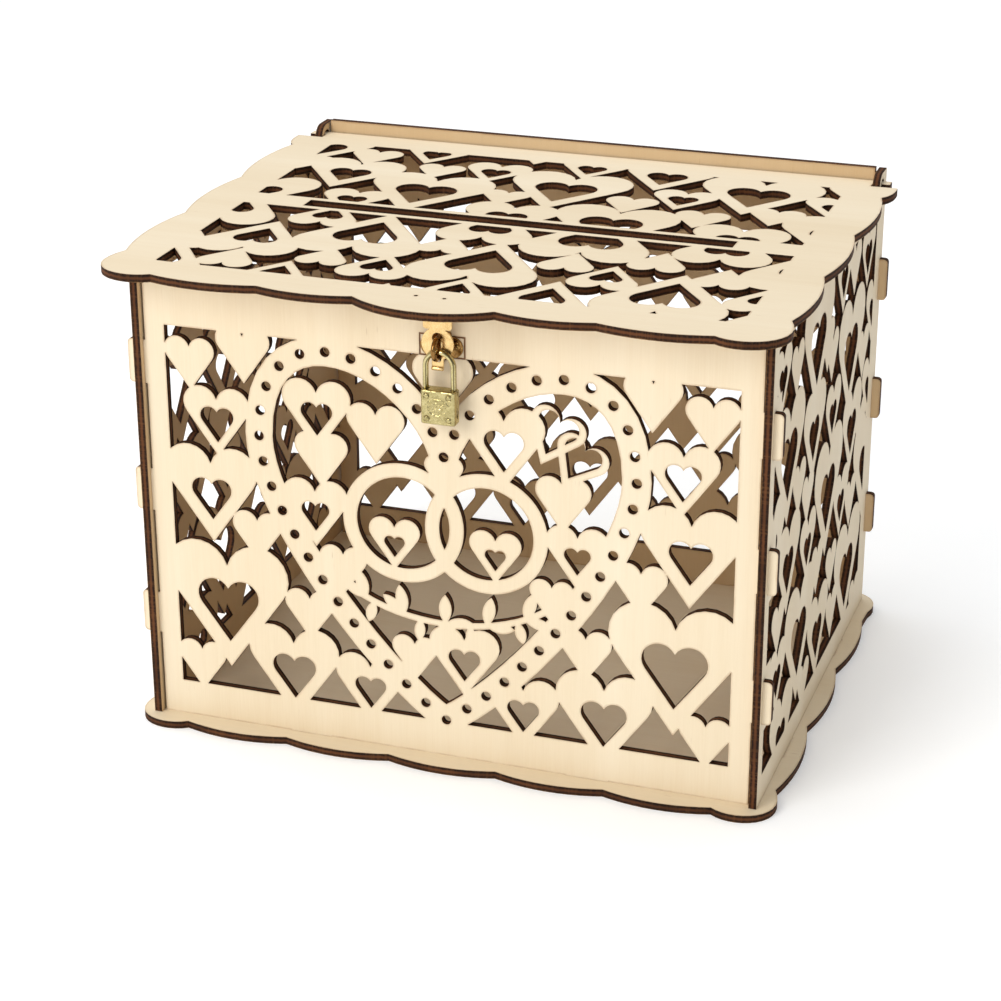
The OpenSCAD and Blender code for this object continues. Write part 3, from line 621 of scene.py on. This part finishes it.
plug_lo, plug_hi = (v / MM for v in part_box("padlock_plug"))
plug_r = (plug_hi.x - plug_lo.x) / 2


def well(x, z0, z1, r):
    """A cutter for a round hole, with a countersunk mouth at z1."""
    up = 1 if z1 > z0 else -1
    path = [(x, bow_at.y, z) for z in (z0, z1 - up * 0.3, z1, z1 + up)]
    drill = tube(path, [r, r, r + 0.22, r + 0.22], (0, 1, 0), 32)
    return piece("cutter", [(drill, HANG)], lock_brass, None, None)


play, foot = 0.05, 0.3                                      # beside and below each leg in its hole
cut(lock_body, [
    well(-leg_x, bow_lo.z - foot, lock_hi.z, bow_r + play),
    well(leg_x, short_z - foot, lock_hi.z, bow_r + play),
    well(0, plug_hi.z + 0.1, lock_lo.z, plug_r + play)], 32)

plug_path = [(0, bow_at.y, plug_lo.z + d) for d in (0.15, 0.2, 0.35, plug_hi.z - plug_lo.z)]
plug_mesh = tube(plug_path, [plug_r - 0.3, plug_r - 0.12, plug_r, plug_r], (0, 1, 0), 48)
plug = piece("key_plug", [(plug_mesh, HANG)], hasp_brass, "plug", "padlock_plug", 40)
ward = [(-0.4, -1.5), (0.4, -1.5), (0.4, -0.5), (0.75, -0.3), (0.4, -0.1), (0.4, 1.5), (-0.4, 1.5),
        (-0.4, 0.9), (-0.75, 0.7), (-0.4, 0.5)]
ward_place = Matrix.Translation((bow_at.x, bow_at.y, plug_lo.z))
keyway = piece("cutter", [(plate([ward], 7.0, 0.02), ward_place)], hasp_brass, None, None)
cut(plug, [keyway], 40)


# ---------------------------------------------------------------- floor, light and camera

def matt_white(name):
    g = Graph(name)
    tone = g.noise(g.coord.outputs["Object"], 3.0, 2.0)
    g.put(g.ramp(tone, [(0.3, (0.93, 0.93, 0.93)), (0.7, (0.95, 0.95, 0.95))]), g.bsdf.inputs["Base Color"])
    g.bsdf.inputs["Roughness"].default_value = 0.8
    g.bsdf.inputs["Specular IOR Level"].default_value = 0.1
    g.bsdf.inputs["Emission Color"].default_value = (1.0, 1.0, 1.0, 1.0)
    g.bsdf.inputs["Emission Strength"].default_value = 0.18
    return g.mat


def make_floor():
    bm = bmesh.new()
    bmesh.ops.create_grid(bm, x_segments=2, y_segments=2, size=6.0)
    mesh = bpy.data.meshes.new("floor")
    bm.to_mesh(mesh)
    bm.free()
    floor = bpy.data.objects.new("floor", mesh)
    scene.collection.objects.link(floor)
    floor.data.materials.append(matt_white("floor_white"))


make_floor()


def area_light(name, place, target, size, power, colour):
    data = bpy.data.lights.new(name, "AREA")
    data.shape = "SQUARE"
    data.size = size
    data.energy = power
    data.color = colour
    obj = bpy.data.objects.new(name, data)
    scene.collection.objects.link(obj)
    obj.location = place
    obj.rotation_euler = (Vector(target) - Vector(place)).to_track_quat("-Z", "Y").to_euler()


area_light("key", (-0.9, -1.9, 1.25), (0, 0, 0.08), 1.2, 26.0, (1.0, 0.975, 0.93))
area_light("top", (-0.3, 0.2, 2.2), (0, 0, 0.1), 1.4, 14.0, (0.97, 0.985, 1.0))

# Soft light from all round, brighter from the upper left
world = bpy.data.worlds.new("studio")
world.use_nodes = True
sky, wire_up = world.node_tree.nodes, world.node_tree.links.new
direction = sky.new("ShaderNodeTexCoord")
lean = sky.new("ShaderNodeVectorMath")
lean.operation = "DOT_PRODUCT"
lean.inputs[1].default_value = (-0.62, -0.10, 0.77)
spread = sky.new("ShaderNodeMapRange")
spread.inputs["From Min"].default_value = -0.7
tones = sky.new("ShaderNodeValToRGB")
for element, (pos, tone) in zip(tones.color_ramp.elements, ((0.0, 0.20), (0.9, 0.82))):
    element.position = pos
    element.color = (0.97 * tone, 0.985 * tone, tone, 1.0)
wire_up(direction.outputs["Generated"], lean.inputs[0])
wire_up(lean.outputs["Value"], spread.inputs["Value"])
wire_up(spread.outputs[0], tones.inputs[0])
wire_up(tones.outputs[0], sky["Background"].inputs["Color"])
scene.world = world
scene.view_settings.view_transform = "Standard"
scene.view_settings.look = "None"

yaw, pitch, roll = 0.3309, 0.4019, 0.002
ahead = Vector((-math.sin(yaw) * math.cos(pitch), math.cos(yaw) * math.cos(pitch), -math.sin(pitch)))
right = Vector((math.cos(yaw), math.sin(yaw), 0.0))
up = right.cross(ahead)
turn = Matrix.Rotation(roll, 3, ahead)
right, up = turn @ right, turn @ up
cam_data = bpy.data.cameras.new("camera")
cam_data.lens = 92.6
cam_data.sensor_width = 36.0
camera = bpy.data.objects.new("camera", cam_data)
scene.collection.objects.link(camera)
facing = Matrix((right, up, -ahead)).transposed().to_4x4()
camera.matrix_world = Matrix.Translation((0.2970, -0.8938, 0.4705)) @ facing
scene.camera = camera
